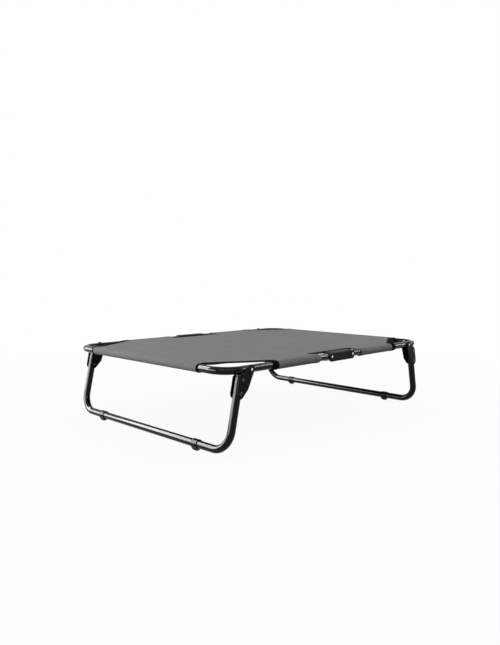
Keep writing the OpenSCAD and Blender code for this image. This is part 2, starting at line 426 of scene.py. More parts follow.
def map_range(material, value, start, end, low, high, **settings):
    """A value carried from the range start to end over to the range low to high."""
    limits = {"From Min": start, "From Max": end, "To Min": low, "To Max": high}
    node = add_node(material, "ShaderNodeMapRange", limits, **settings)
    join(material, value, node.inputs["Value"])
    return node.outputs["Result"]


def spread(material, value, low, high):
    """A value about 0.5 stretched to a range."""
    return map_range(material, value, NOISE_LOW, NOISE_HIGH, low, high)


def mix_colours(material, share, first, second):
    """A colour between two, each a socket or a colour, by a value from 0 to 1."""
    node = add_node(material, "ShaderNodeMix", data_type="RGBA")
    share_in, first_in, second_in, mixed_out = node.inputs[0], node.inputs[6], node.inputs[7], node.outputs[2]
    for socket, colour in ((first_in, first), (second_in, second)):
        if isinstance(colour, tuple):
            socket.default_value = (*colour, 1)
        else:
            join(material, colour, socket)
    join(material, share, share_in)
    return mixed_out


def mix_shaders(material, share, first, second):
    """A shader between two, by a value from 0 to 1."""
    node = add_node(material, "ShaderNodeMixShader")
    for socket, output in zip(node.inputs, (share, first, second)):
        join(material, output, socket)
    return node.outputs[0]


def calculate(material, operation, first, second):
    """A math node on two values, each a socket or a number."""
    node = add_node(material, "ShaderNodeMath", operation=operation)
    for socket, value in zip(node.inputs, (first, second)):
        if isinstance(value, (int, float)):
            socket.default_value = value
        else:
            join(material, value, socket)
    return node.outputs[0]


def add_bump(material, height, depth, strength):
    """Let a height field of a given depth in metres shape the surface's normals."""
    bump = add_node(material, "ShaderNodeBump", {"Strength": strength, "Distance": depth})
    join(material, height, bump.inputs["Height"])
    join(material, bump.outputs["Normal"], shader_of(material).inputs["Normal"])


# Materials


def painted(name, dark, pale, roughness, peel_scale, peel_depth, **sockets):
    """Black paint: faint mottling, uneven gloss and a fine skin."""
    material = new_material(name, dark, roughness[0], **sockets)
    shader = shader_of(material)
    mottle = spread(material, noise_field(material, PAINT_MOTTLE), 0, 1)
    join(material, mix_colours(material, mottle, dark, pale), shader.inputs["Base Color"])
    gloss = spread(material, noise_field(material, PAINT_GLOSS, detail=5), *roughness)
    join(material, gloss, shader.inputs["Roughness"])
    add_bump(material, noise_field(material, peel_scale, detail=2), peel_depth, PAINT_BUMP)
    return material


def woven(name, dark, pale, pitch, roughness, **sockets):
    """Plain weave laid out in metres on the flat cut, with uneven yarns."""
    material = new_material(name, pale, roughness, Specular_IOR_Level=CLOTH_SPECULAR, **sockets)
    shader = shader_of(material)
    flat = uv_parts(material)
    waves = []
    for axis in ("X", "Y"):
        turns = calculate(material, "MULTIPLY", flat[axis], math.pi / pitch)
        waves.append(calculate(material, "SINE", turns, 0))
    weave = calculate(material, "MULTIPLY", *waves)
    warp = noise_field(material, 1, coordinates="UV", stretch=(YARN_ACROSS, YARN_ALONG, 1))
    weft = noise_field(material, 1, coordinates="UV", stretch=(YARN_ALONG, YARN_ACROSS, 1))
    cloud = noise_field(material, CLOTH_CLOUD, detail=4, coordinates="UV")
    yarns = calculate(material, "ADD", warp, weft)
    yarns = calculate(material, "MULTIPLY", yarns, YARN_SHADE)
    cloud = calculate(material, "MULTIPLY", cloud, CLOUD_SHADE)
    shade = calculate(material, "ADD", yarns, cloud)
    raised = calculate(material, "MULTIPLY", weave, WEAVE_SHADE)
    shade = calculate(material, "ADD", shade, raised)
    share = spread(material, shade, 0, 1)
    join(material, mix_colours(material, share, dark, pale), shader.inputs["Base Color"])
    height = calculate(material, "ADD", weave, calculate(material, "MULTIPLY", yarns, YARN_HEIGHT))
    add_bump(material, height, WEAVE_DEPTH, WEAVE_BUMP)
    return material


def plated(name):
    """Dull zinc plate with faint scratches; where the UV's x nears 1, the rims of the heads get painted
    shade, dark and not metal, that stands for their dark reflection.
    """
    material = new_material(name, ZINC_MIDDLE, sum(ZINC_ROUGHNESS) / 2, IOR=1.2)
    shader = shader_of(material)
    cloud = spread(material, noise_field(material, ZINC_CLOUD), 0, 1)
    tint = mix_colours(material, cloud, ZINC_DARK, ZINC_PALE)
    # Painted shade: the rims turn dark and lose their metal, standing for the dark reflection at a dome's
    # edge, so only the crown reflects as zinc
    rim = map_range(material, uv_parts(material)["X"], RIM_START, RIM_END, 0, 1)
    join(material, mix_colours(material, rim, tint, RIM_PAINTED_SHADE), shader.inputs["Base Color"])
    join(material, calculate(material, "SUBTRACT", 1, rim), shader.inputs["Metallic"])
    gloss = spread(material, noise_field(material, ZINC_GLOSS, detail=6), *ZINC_ROUGHNESS)
    join(material, gloss, shader.inputs["Roughness"])
    add_bump(material, noise_field(material, ZINC_SCRATCH, detail=4), ZINC_DEPTH, ZINC_BUMP)
    return material


def moulded(name, dark, pale, roughness, grain, **sockets):
    """Moulded rubber or plastic with a fine grain."""
    material = new_material(name, dark, roughness[0], **sockets)
    shader = shader_of(material)
    cloud = spread(material, noise_field(material, MOULD_CLOUD, detail=4), 0, 1)
    join(material, mix_colours(material, cloud, dark, pale), shader.inputs["Base Color"])
    gloss = spread(material, noise_field(material, MOULD_GLOSS), *roughness)
    join(material, gloss, shader.inputs["Roughness"])
    add_bump(material, noise_field(material, grain, detail=3), MOULD_DEPTH, MOULD_BUMP)
    return material


TUBE_PAINT = painted(
    "tube_paint", (0.0030, 0.0030, 0.0032), (0.005, 0.005, 0.0053), (0.09, 0.14),
    peel_scale=420, peel_depth=0.01 * MM, IOR=1.22,
)
PLATE_PAINT = painted(
    "plate_paint", (0.003, 0.003, 0.0032), (0.006, 0.006, 0.0063), (0.40, 0.50),
    peel_scale=1300, peel_depth=0.05 * MM, IOR=1.14,
)
RIVET_PAINT = painted(
    "rivet_paint", (0.010, 0.010, 0.0105), (0.018, 0.018, 0.0185), (0.30, 0.40),
    peel_scale=1500, peel_depth=0.04 * MM, IOR=1.4,
)
ZINC = plated("zinc")
PLUG_PLASTIC = moulded(
    "plug_plastic", (0.030, 0.030, 0.031), (0.045, 0.045, 0.046), (0.4, 0.5), grain=1600, IOR=1.4,
)
FOOT_RUBBER = moulded(
    "foot_rubber", (0.003, 0.003, 0.0032), (0.006, 0.006, 0.0063), (0.2, 0.28), grain=1100, IOR=1.18,
)
CLOTH = woven(
    "cover_cloth", (0.165, 0.166, 0.169), (0.255, 0.256, 0.26),
    pitch=0.7 * MM, roughness=0.85, Sheen_Weight=0.05, Sheen_Roughness=0.6,
)
TAPE = woven(
    "binding_tape", (0.006, 0.006, 0.0063), (0.012, 0.012, 0.0125),
    pitch=0.9 * MM, roughness=0.75, IOR=1.1,
)
THREAD = woven("stitch_thread", (0.22, 0.22, 0.225), (0.32, 0.32, 0.325), pitch=0.3 * MM, roughness=0.7)
DARK_THREAD = woven("tape_thread", (0.03, 0.03, 0.031), (0.05, 0.05, 0.052), pitch=0.3 * MM, roughness=0.7)


# Bent tubes and leg plugs


def u_path(half_width, arm, bend_r):
    """Places and directions along a U in its own plane, as (along, across) pairs."""
    first = [((arm, -half_width), (-1, 0))]
    for turn in quarter_turns(BEND_STEPS):
        place = (bend_r * (1 - math.sin(turn)), bend_r * (1 - math.cos(turn)) - half_width)
        first.append((place, (-math.cos(turn), math.sin(turn))))
    second = [((a, -b), (-da, db)) for (a, b), (da, db) in reversed(first)]
    return first + second


def bent_tube(name, origin, along, path, tube_r, nose):
    """A hollow tube along a U; nose rounds its ends, so that they can turn about an axis across it."""
    normal = along.cross(ACROSS)
    inner_r = tube_r - TUBE_WALL
    last = len(path) - 1
    stations = [(k, tube_r) for k in range(last + 1)]
    stations += [(k, inner_r) for k in range(last, -1, -1)]
    points = []
    for k, radius in stations:
        (a, b), (da, db) = path[k]
        place = origin + along * a + ACROSS * b
        outward = along * (abs(da) if k in (0, last) else 0)
        aside = normal.cross(along * da + ACROSS * db)
        for turn in even_steps(0, FULL_TURN, ROUND_STEPS):
            lift = radius * math.sin(turn)
            reach = NOSE_SHARE * math.sqrt(tube_r ** 2 - lift ** 2) if nose else 0
            rim = aside * (radius * math.cos(turn)) + normal * lift
            points.append(place + rim + outward * reach)
    faces = grid_faces(len(stations), ROUND_STEPS, close_rows=True, close_columns=True)
    return make_mesh(name, points, faces)


def plug_profile():
    """Profile of a leg plug: a stem in the tube under a cap with a rounded edge."""
    profile = [(PLUG_R - PLUG_EDGE, -PLUG_STEM), (PLUG_R, PLUG_TAPER - PLUG_STEM), (PLUG_R, 0), (LEG_R, 0)]
    for turn in quarter_turns(EDGE_STEPS):
        radius = LEG_R - PLUG_EDGE * (1 - math.cos(turn))
        profile.append((radius, PLUG_CAP - PLUG_EDGE * (1 - math.sin(turn))))
    profile.append((PLUG_TOP_R, PLUG_CAP))
    return profile


for end, sign in ENDS.items():
    outer = Vector((sign * HALF_L, 0, FRAME_H))
    path = u_path(HALF_W, HALF_L - PIN_X, FRAME_BEND)
    mesh = bent_tube(f"painted_frame_tube_{end}", outer, Vector((-sign, 0, 0)), path, TUBE_R, True)
    add_piece(mesh.name, mesh, TUBE_PAINT, f"frame_{end}", [f"frame_tube_{end}"])

    floor_bar = Vector((sign * BAR_X, 0, BAR_Z))
    rise = Vector((-sign * math.sin(LEG_SPLAY), 0, math.cos(LEG_SPLAY)))
    path = u_path(HALF_W, LEG_RUN, LEG_BEND)
    mesh = bent_tube(f"painted_leg_tube_{end}", floor_bar, rise, path, LEG_R, False)
    add_piece(mesh.name, mesh, TUBE_PAINT, f"leg_{end}", [f"leg_tube_{end}"])

    for side, way in SIDES.items():
        top = floor_bar + rise * LEG_RUN + ACROSS * (way * HALF_W)
        mesh = make_mesh(f"end_plug_{end}_{side}", *lathe(top, rise, plug_profile()))
        nodes = [f"leg_plug_{end}_{side}"]
        add_piece(mesh.name, mesh, PLUG_PLASTIC, f"leg_{end}", nodes)


# Cheek plates


def outline_of(node):
    """Outline of a convex CAD plate seen along Y, as (x, z) pairs in order."""
    flat = [Vector((v.co.x, v.co.z)) for v in frame["nodes"][node].data.vertices]
    return [flat[k] for k in convex_hull_2d(flat)]


def inset(outline, distance):
    """A convex outline moved inward by a distance."""
    moved = []
    for k, here in enumerate(outline):
        before = (here - outline[k - 1]).normalized()
        after = (outline[(k + 1) % len(outline)] - here).normalized()
        bisector = Vector((-before.y - after.y, before.x + after.x))
        moved.append(here + bisector * (distance / (1 + before.dot(after))))
    return moved


def rounded_plate(node):
    """A flat plate with the outline and thickness of a CAD plate and rounded edges."""
    low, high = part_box(node)
    outline = outline_of(node)
    levels = []
    for turn in quarter_turns(EDGE_STEPS):
        levels.append((PLATE_EDGE * (1 - math.sin(turn)), PLATE_EDGE * (1 - math.cos(turn))))
    rings = [(step, low.y + depth) for step, depth in levels]
    rings += [(step, high.y - depth) for step, depth in reversed(levels)]
    points = [(x, y, z) for step, y in rings for x, z in inset(outline, step)]
    faces = grid_faces(len(rings), len(outline), close_columns=True)
    return points, faces + end_caps(len(rings), len(outline))


for end in ENDS:
    for side in SIDES:
        for face in ("outer", "inner"):
            node = f"cheek_{end}_{side}_{face}"
            mesh = make_mesh(f"cheek_plate_{end}_{side}_{face}", *rounded_plate(node))
            piece = add_piece(mesh.name, mesh, PLATE_PAINT, f"leg_{end}", [node])
            piece.modifiers.new("even_normals", "WEIGHTED_NORMAL")


# Pins and rivets


def rivet_profile(shank_d, head_d, head_h, half_grip):
    """Profile of a rivet with a domed, lipped head at each end of its grip."""
    head_r = head_d / 2
    dome_h = head_h - HEAD_LIP
    head = [(shank_d / 2, half_grip), (head_r - HEAD_LIP / 2, half_grip)]
    head.append((head_r, half_grip + HEAD_LIP / 2))
    for quarter in quarter_turns(DOME_STEPS):
        turn = quarter * DOME_SHARE
        head.append((head_r * math.cos(turn), half_grip + HEAD_LIP + dome_h * math.sin(turn)))
    return [(radius, -height) for radius, height in reversed(head)] + head


def rivets(name, nodes, places, sizes, material, body):
    """Rivets along Y at the places given, as one piece that stands for CAD nodes."""
    points, faces, flats = [], [], []
    low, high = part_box(nodes[0])
    shank_d, head_d, head_h = sizes
    profile = rivet_profile(shank_d, head_d, head_h, (high.y - low.y) / 2 - head_h)
    for place in places:
        more_points, more_faces = lathe(place, ACROSS, profile)
        faces += [tuple(k + len(points) for k in face) for face in more_faces]
        points += more_points
        # UV x is the share of the head's radius, which places the painted shade on the rims
        for radius, _ in profile:
            flats += [(radius / (head_d / 2), 0)] * ROUND_STEPS
    mesh = make_mesh(name, points, faces)
    add_flat_uv(mesh, flats)
    add_piece(name, mesh, material, body, nodes)


def middle_of(node):
    """Middle of a CAD node's box."""
    low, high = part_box(node)
    return (low + high) / 2


PIN_SIZES = (PIN_D, PIN_HEAD_D, PIN_HEAD_H)
RIVET_SIZES = (RIVET_D, RIVET_HEAD_D, RIVET_HEAD_H)
for end, sign in ENDS.items():
    for side, way in SIDES.items():
        node = f"hinge_pin_{side}_{end}"
        name = f"hinge_rivet_{side}_{end}"
        rivets(name, [node], [middle_of(node)], PIN_SIZES, ZINC, "hinge")
        node = f"pivot_pin_{end}_{side}"
        name = f"pivot_rivet_{end}_{side}"
        rivets(name, [node], [middle_of(node)], PIN_SIZES, ZINC, f"frame_{end}")
        node = f"leg_rivets_{end}_{side}"
        name = f"cheek_rivets_{end}_{side}"
        low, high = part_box(node)
        head_r = RIVET_HEAD_D / 2
        upper_x, lower_x = (low.x + head_r, high.x - head_r)[::sign]
        places = [
            Vector((upper_x, way * HALF_W, high.z - head_r)),
            Vector((lower_x, way * HALF_W, low.z + head_r)),
        ]
        rivets(name, [node], places, RIVET_SIZES, RIVET_PAINT, f"leg_{end}")


# Hinge brackets


def hinge_section(half_y, low_z, high_z):
    """Outer section of the folded channel, as (y, z) pairs from one lower edge to the other."""
    turns = quarter_turns(HINGE_STEPS)
    wall = [low_z + HINGE_CORNER * (1 - math.cos(turn)) for turn in turns]
    top_start = high_z - HINGE_CORNER
    wall += [top_start + HINGE_CORNER * share for share in HINGE_WALL_SHARES]
    left = [(-half_y, z) for z in wall]
    for turn in turns:
        y = -half_y + HINGE_FOLD * (1 - math.cos(turn))
        left.append((y, high_z - HINGE_FOLD * (1 - math.sin(turn))))
    flat = [(share * (half_y - HINGE_FOLD), high_z) for share in HINGE_TOP_SHARES]
    return left + flat + [(-y, z) for y, z in reversed(left)]


def hinge_half_length(z, low_z, high_z, half_l):
    """Half length of the channel at a height, with its corners rounded."""
    depth = max(low_z + HINGE_CORNER - z, z - high_z + HINGE_CORNER, 0)
    return half_l - HINGE_CORNER + math.sqrt(max(HINGE_CORNER ** 2 - depth ** 2, 0))


for side, way in SIDES.items():
    node = f"hinge_bracket_{side}"
    low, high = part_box(node)
    section = hinge_section((high.y - low.y) / 2, low.z, high.z)
    points = []
    for y, z in section:
        reach = hinge_half_length(z, low.z, high.z, high.x)
        for k in range(HINGE_COLUMNS):
            points.append(((2 * k / (HINGE_COLUMNS - 1) - 1) * reach, way * HALF_W + y, z))
    mesh = make_mesh(f"hinge_channel_{side}", points, grid_faces(len(section), HINGE_COLUMNS))
    piece = add_piece(mesh.name, mesh, PLATE_PAINT, "hinge", [node])
    sheet = piece.modifiers.new("sheet", "SOLIDIFY")
    sheet.thickness = HINGE_SHEET
    sheet.offset = -1
    rounding = piece.modifiers.new("rounding", "BEVEL")
    rounding.width = HINGE_EDGE
    rounding.segments = HINGE_EDGE_STEPS
    rounding.limit_method = "ANGLE"
    rounding.angle_limit = SHARP_ANGLE
    piece.modifiers.new("even_normals", "WEIGHTED_NORMAL")


# Rubber feet


def foot_radius(turn, y):
    """Distance from the bar's axis to a foot's skin, at a turn from straight down and a place along it."""
    down = math.cos(turn)
    if down < PAD_LIMIT:
        return COLLAR_R
    aside = abs(math.sin(turn))
    lower = (abs(y) - TREAD_L / 2) * PAD_LIFT / (PAD_L / 2 - TREAD_L / 2)
    upper = PAD_LIFT + (abs(y) - PAD_L / 2) * (FOOT_LIFT - PAD_LIFT) / (FOOT_L / 2 - PAD_L / 2)
    lift = max(lower, upper, 0)
    skin = (BAR_Z - lift) / down
    for low, low_x, high, high_x in FLANKS:
        lean = (high_x - low_x) / (high - low)
        flank = (high_x - lean * (high - BAR_Z)) / (aside + lean * down)
        skin = soft_min(skin, flank, FOOT_SOFTNESS)
    return soft_max(COLLAR_R, skin, FOOT_SOFTNESS)


def foot_mesh(name, place):
    """A rubber collar with a tapered pad below it, round a bar along Y."""
    half_l = FOOT_L / 2
    inner_l = half_l - FOOT_EDGE
    edge = []
    for turn in quarter_turns(EDGE_STEPS):
        edge.append((-half_l + FOOT_EDGE * (1 - math.cos(turn)), FOOT_EDGE * (1 - math.sin(turn))))
    middle = [(y, 0) for y in even_steps(-inner_l, inner_l, FOOT_STEPS)[1:]]
    far_edge = [(-y, drop) for y, drop in reversed(edge)]
    rings = [(-half_l, None)] + edge + middle + far_edge + [(half_l, None)]
    count = 2 * ROUND_STEPS
    points = []
    for y, drop in rings:
        for turn in even_steps(0, FULL_TURN, count):
            radius = FOOT_BORE if drop is None else foot_radius(turn, y) - drop
            rim = Vector((math.sin(turn) * radius, y, -math.cos(turn) * radius))
            points.append(place + rim)
    faces = grid_faces(len(rings), count, close_rows=True, close_columns=True)
    return make_mesh(name, points, faces)


for end, sign in ENDS.items():
    for side, way in SIDES.items():
        place = Vector((sign * BAR_X, way * FOOT_Y, BAR_Z))
        mesh = foot_mesh(f"rubber_foot_{end}_{side}", place)
        nodes = [f"foot_{end}_{side}"]
        add_piece(mesh.name, mesh, FOOT_RUBBER, f"leg_{end}", nodes)


# Shape of the cover, from its flat cut: p runs out from the cot's middle line and q across


class Sleeve:
    """Section of a loose sleeve that hangs on its tube and is sewn to the cover's underside."""

    def __init__(self, looseness):
        self.radius = SLEEVE_R + looseness
        self.drop = looseness
        seam = Vector((-SEAM_INSET, SLEEVE_R - SEAM_DROP + looseness))
        crest_to_seam = FULL_TURN + QUARTER_TURN - math.atan2(seam.y, seam.x)
        self.wrap = crest_to_seam - math.acos(self.radius / seam.length)
        self.arc = self.radius * self.wrap
        self.run = self.arc + math.sqrt(seam.length_squared - self.radius ** 2)

    def place(self, run):
        """Place and normal, (out, up) from the tube's axis, at a run past the tube's crest."""
        turn = min(run / self.radius, self.wrap)
        normal = Vector((math.sin(turn), math.cos(turn)))
        onward = Vector((math.cos(turn), -math.sin(turn)))
        spot = normal * self.radius + onward * (run - turn * self.radius)
        return spot - Vector((0, self.drop)), normal

    def steps(self, start):
        """Flat lines over the sleeve, from its crest to its seam."""
        lines = even_steps(start, start + self.arc, WRAP_STEPS)
        lines += even_steps(start + self.arc, start + self.run, SEAM_STEPS)
        return lines + [start + self.run]


SIDE_SLEEVE = Sleeve(SIDE_LOOSENESS)
END_SLEEVE = Sleeve(END_LOOSENESS)
CUT_P = HALF_L - SIDE_MOUTH
CUT_Q = HALF_W - END_MOUTH
NOTCH_STEP = CUT_Q / CORNER_STEPS
NOTCH_LINE = END_MOUTH + NOTCH_STEP * round((NOTCH_EDGE - END_MOUTH) / NOTCH_STEP)


def notch_droop(p, q):
    """How far the cover's free edge hangs down at a flat spot beside a hinge."""
    near_edge = smooth_step(abs(q), NOTCH_LINE - NOTCH_DROOP_Q, NOTCH_LINE)
    off_tube = 1 - smooth_step(abs(q), NOTCH_LINE, HALF_W)
    near_hinge = 1 - smooth_step(p, HINGE_MOUTH, HINGE_MOUTH + NOTCH_DROOP_P)
    return NOTCH_DROOP * near_edge * off_tube * near_hinge


def corner_droop(p, q):
    """How far a cut corner's edge hangs down at a flat spot, close to the end tube."""
    from_edge = ((HALF_L - p) * CUT_Q + (END_MOUTH - abs(q)) * CUT_P) / math.hypot(CUT_P, CUT_Q)
    near_edge = 1 - smooth_step(from_edge, 0, CORNER_DROOP_REACH)
    off_tube = smooth_step(HALF_L - p, 0, CORNER_DROOP_START)
    near_tube = 1 - smooth_step(HALF_L - p, CORNER_DROOP_FADE, CORNER_DROOP_END)
    return CORNER_DROOP * near_edge * off_tube * near_tube


def cover_place(sign, p, q):
    """Place and normal of the cover's middle surface at a flat spot of one half."""
    way = math.copysign(1, q)
    if abs(q) > HALF_W:
        spot, normal = SIDE_SLEEVE.place(abs(q) - HALF_W)
        place = Vector((sign * p, way * (HALF_W + spot.x), FRAME_H + spot.y))
        return place, Vector((0, way * normal.x, normal.y))
    if p > HALF_L:
        spot, normal = END_SLEEVE.place(p - HALF_L)
        place = Vector((sign * (HALF_L + spot.x), q, FRAME_H + spot.y))
        return place, Vector((sign * normal.x, 0, normal.y))
    slack = (1 - (q / HALF_W) ** 2) * (1 - (p / HALF_L) ** 2)
    ripple = noise.noise(Vector((sign * p, q, 0)) * RIPPLE_SCALE) * RIPPLE * min(RIPPLE_RISE * slack, 1)
    droop = COVER_SAG * slack + notch_droop(p, q) + corner_droop(p, q)
    height = FRAME_H + SLEEVE_R - droop + ripple
    return Vector((sign * p, q, height)), UP


def cover_lines():
    """Flat lines of one half's grid along p and q, which meet every corner of its outline."""
    p_lines = even_steps(0, HINGE_MOUTH, round(HINGE_MOUTH / CLOTH_STEP))
    p_lines += even_steps(HINGE_MOUTH, SIDE_MOUTH, round((SIDE_MOUTH - HINGE_MOUTH) / CLOTH_STEP))
    p_lines += even_steps(SIDE_MOUTH, HALF_L, CORNER_STEPS)
    p_lines += END_SLEEVE.steps(HALF_L)
    half = even_steps(END_MOUTH, HALF_W, CORNER_STEPS) + SIDE_SLEEVE.steps(HALF_W)
    middle = even_steps(-END_MOUTH, END_MOUTH, round(2 * END_MOUTH / CLOTH_STEP))
    q_lines = [-q for q in reversed(half[1:])] + middle + half
    return p_lines, q_lines


def cover_cells(p_lines, q_lines):
    """Corners of each cell inside the outline, as index pairs: four, or three along a cut corner."""
    step = 1 / CORNER_STEPS
    for i in range(len(p_lines) - 1):
        for j in range(len(q_lines) - 1):
            p_low, p_high = p_lines[i], p_lines[i + 1]
            near, far = sorted((q_lines[j], q_lines[j + 1]), key=abs)
            corners = [(i, j), (i + 1, j), (i + 1, j + 1), (i, j + 1)]
            if abs(far) > HALF_W + TINY:
                inside = HINGE_MOUTH - TINY < p_low and p_high < SIDE_MOUTH + TINY
            elif p_high > HALF_L + TINY:
                inside = abs(far) < END_MOUTH + TINY
            elif p_high < HINGE_MOUTH + TINY:
                inside = abs(far) < NOTCH_LINE + TINY
            else:
                low = (p_low - SIDE_MOUTH) / CUT_P + (abs(near) - END_MOUTH) / CUT_Q
                in_band = p_low > SIDE_MOUTH - TINY and abs(near) > END_MOUTH - TINY
                inside = not in_band or low < 1 - step - TINY
                if in_band and abs(low - 1 + step) < step / 4:
                    outer = (i + 1, j + 1) if far > 0 else (i + 1, j)
                    yield [corner for corner in corners if corner != outer]
                    continue
            if inside:
                yield corners


def flat_area(corners):
    """Area of a flat cell."""
    total = 0
    for k, (p, q) in enumerate(corners):
        next_p, next_q = corners[(k + 1) % len(corners)]
        total += p * next_q - next_p * q
    return abs(total) / 2


def cover_half(end, sign):
    """One half of the cover as a sheet of cloth, and its flat area."""
    p_lines, q_lines = cover_lines()
    index, points, flats, faces = {}, [], [], []
    area = 0
    for cell in cover_cells(p_lines, q_lines):
        for i, j in cell:
            if (i, j) not in index:
                index[i, j] = len(points)
                points.append(cover_place(sign, p_lines[i], q_lines[j])[0])
                flats.append((sign * p_lines[i], q_lines[j]))
        faces.append(tuple(index[corner] for corner in cell))
        area += flat_area([flats[k] for k in faces[-1]])
    mesh = make_mesh(f"cover_{end}", points, faces)
    add_flat_uv(mesh, flats)
    piece = add_object(mesh.name, mesh, CLOTH)
    thickness = piece.modifiers.new("thickness", "SOLIDIFY")
    thickness.thickness = CLOTH_T
    thickness.offset = 0
    apply_modifiers(piece)
    piece.data.set_sharp_from_angle(angle=SHARP_ANGLE)
    return piece, area


# Binding tape, hems and stitching


def mouth_path(p, inward, way, runs):
    """Flat stations along a side sleeve's mouth: spot and inward direction."""
    return [(Vector((p, way * (HALF_W + run))), Vector((inward, 0))) for run in runs]


def mitre(first, second):
    """Inward step at a corner whose parts beside the two edges are the steps given."""
    ways = first.normalized(), second.normalized()
    lean = ways[0].dot(ways[1])
    along_first = (first.length - lean * second.length) / (1 - lean ** 2)
    along_second = (second.length - lean * first.length) / (1 - lean ** 2)
    return ways[0] * along_first + ways[1] * along_second


def corner_path(way):
    """Flat stations round a cut corner: side mouth, diagonal and end mouth, where the band is narrower."""
    diagonal = Vector((CUT_P, -way * CUT_Q))
    inward = Vector((-abs(diagonal.y), -way * diagonal.x)).normalized()
    end_inward = Vector((0, -way * END_TAPE_SHARE))
    start = Vector((SIDE_MOUTH, way * HALF_W))
    path = mouth_path(SIDE_MOUTH, -1, way, list(reversed(SIDE_SLEEVE.steps(0)))[:-1])
    path.append((start, mitre(Vector((-1, 0)), inward)))
    path += [(start + diagonal * share, inward) for share in even_steps(0, 1, DIAGONAL_STEPS)[1:]]
    path.append((start + diagonal, mitre(inward, end_inward)))
    path += [(Vector((p, way * END_MOUTH)), end_inward) for p in END_SLEEVE.steps(HALF_L)[1:]]
    return path


def edge_section(width):
    """Section of a band folded over a cloth edge, as (inset, lift) pairs."""
    inner = CLOTH_T / 2 + BAND_GAP
    outer = inner + TAPE_T
    top = [(width, inner), (width - BAND_BEVEL, outer), (width / 2, outer), (BAND_FOLD, outer)]
    fold = []
    for turn in even_steps(0, math.pi, FOLD_STEPS)[1:]:
        fold.append((-outer * BAND_FOLD_SHARE * math.sin(turn), outer * math.cos(turn)))
    bottom = [(step, -lift) for step, lift in reversed(top)]
    return top + fold + bottom + [(BAND_HOLLOW, -inner), (0, 0), (BAND_HOLLOW, inner)]


def edge_band(name, sign, path, width, material):
    """A band folded over a cloth edge along a flat path."""
    section = edge_section(width)
    points, flats = [], []
    for spot, inward in path:
        for step, lift in section:
            flat = spot + inward * max(step, 0)
            place, normal = cover_place(sign, flat.x, flat.y)
            if step < 0:
                beyond = flat + inward * EDGE_PROBE
                place += (place - cover_place(sign, beyond.x, beyond.y)[0]).normalized() * -step
            points.append(place + normal * lift)
            flats.append((sign * flat.x, flat.y))
    faces = grid_faces(len(path), len(section), close_columns=True)
    mesh = make_mesh(name, points, faces + end_caps(len(path), len(section)))
    add_flat_uv(mesh, flats)
    return add_object(name, mesh, material)


def stitch_line(sign, path, step, lift):
    """Places and normals of a stitch line that runs beside a flat path."""
    line = []
    for spot, inward in path:
        flat = spot + inward * step
        place, normal = cover_place(sign, flat.x, flat.y)
        line.append((place + normal * lift, normal))
    return line


def along_line(line, distance):
    """Place and normal at a distance along a line of places and normals."""
    for (start, first), (end, second) in zip(line, line[1:]):
        length = (end - start).length
        if distance <= length:
            share = distance / max(length, TINY)
            return start.lerp(end, share), first.lerp(second, share).normalized()
        distance -= length
    return line[-1]


def stitches(name, lines, material):
    """Short raised stitches along lines of places and normals, as one mesh."""
    points, faces, flats = [], [], []
    for line in lines:
        total = sum((b[0] - a[0]).length for a, b in zip(line, line[1:]))
        for n in range(int((total - STITCH_L) / STITCH_PITCH) + 1):
            begin = n * STITCH_PITCH
            first = len(points)
            start = along_line(line, begin)[0]
            onward = (along_line(line, begin + STITCH_L)[0] - start).normalized()
            for share, radius, lift in STITCH_SWELL:
                place, normal = along_line(line, begin + STITCH_L * share)
                aside = onward.cross(normal)
                for turn in even_steps(0, FULL_TURN, STITCH_SIDES):
                    rim = normal * (math.cos(turn) * radius + lift) + aside * math.sin(turn) * radius
                    points.append(place + rim * STITCH_R)
                    flats.append((begin + STITCH_L * share, STITCH_R * turn))
            faces += grid_faces(len(STITCH_SWELL), STITCH_SIDES, first, close_columns=True)
            faces += end_caps(len(STITCH_SWELL), STITCH_SIDES, first)
    mesh = make_mesh(name, points, faces)
    add_flat_uv(mesh, flats)
    return add_object(name, mesh, material)


def seam_lines(sign):
    """Two rows of stitching beside each sleeve's seam, on the cover's top."""
    rows = []
    for row in SEAM_ROWS:
        inset_by = SEAM_INSET - row
        for way in SIDES.values():
            spots = even_steps(HINGE_MOUTH + HEM_W, SIDE_MOUTH - TAPE_W, SIDE_SEAM_STEPS)
            rows.append([Vector((p, way * (HALF_W - inset_by))) for p in spots])
        reach = END_MOUTH - TAPE_W
        rows.append([Vector((HALF_L - inset_by, q)) for q in even_steps(-reach, reach, END_SEAM_STEPS)])
    no_inset = Vector((0, 0))
    return [stitch_line(sign, [(spot, no_inset) for spot in row], 0, CLOTH_T / 2) for row in rows]


def ride_with_frame(piece, end):
    """Let a sewn-on piece ride with a half frame."""
    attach(piece, f"frame_{end}")
    return piece


def bend_with_hinge(piece, sign):
    """Bake a cover piece of one half into its place, the same for either half; nothing bends it over the
    hinge line.
    """
    if sign < 0:
        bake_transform(piece)
    else:
        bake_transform(piece)
    return piece


